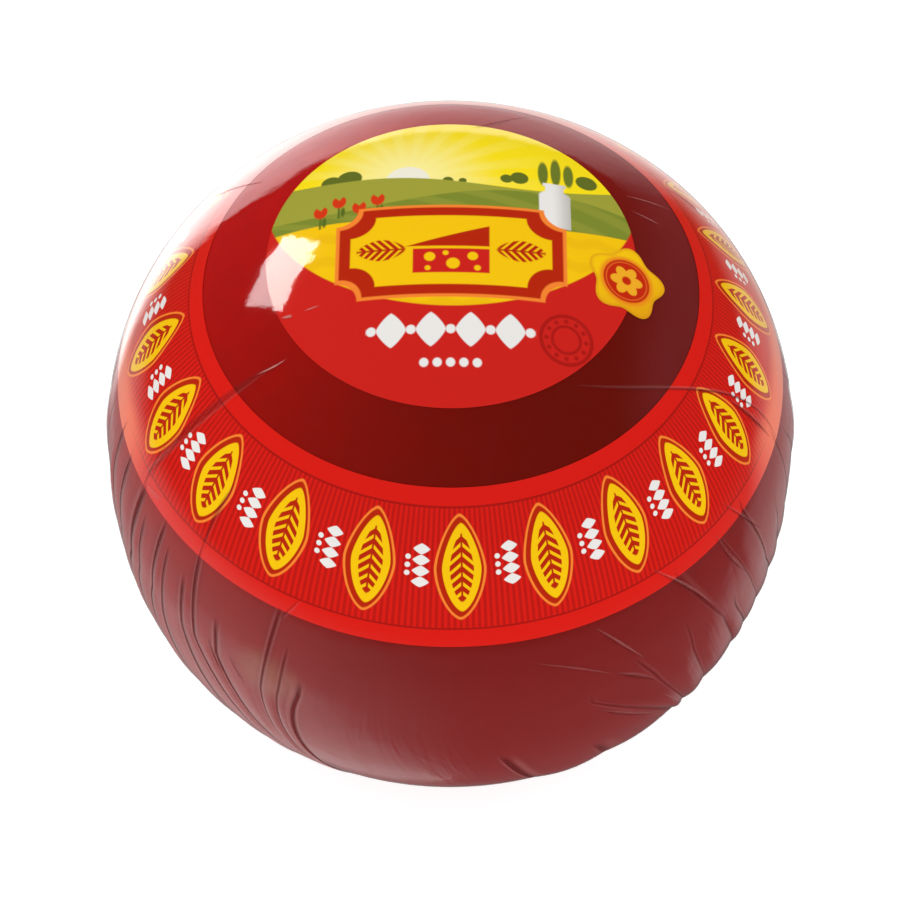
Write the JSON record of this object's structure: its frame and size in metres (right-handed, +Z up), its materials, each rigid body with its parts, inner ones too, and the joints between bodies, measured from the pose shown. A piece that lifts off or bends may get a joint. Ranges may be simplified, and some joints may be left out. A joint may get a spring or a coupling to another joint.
{
  "type": "ball of cheese",
  "caption": "Squat round ball of red-waxed cheese in clear pleated film, with a round printed label on the crown, a printed band round the shoulder and a lobed seal.",
  "frame": {"origin": "middle of the flat foot that the ball rests on", "axes": "+Z up through the middle of the round label; -Y is the side shown at the front, with the seal towards +X"},
  "size_m": [0.1511, 0.1504, 0.1328],
  "materials": {
    "wax_under_film": "dark red wax under clear glossy film",
    "label_print": "red, yellow and green print on glossy film",
    "band_print": "red print with repeated yellow motifs on glossy film",
    "seal_print": "yellow print with a red middle on glossy film"
  },
  "bodies": {
    "root": {"wrapped_ball": "wax_under_film", "label_round": "label_print", "label_band": "band_print", "label_seal": "seal_print"}
  },
  "joints": []
}
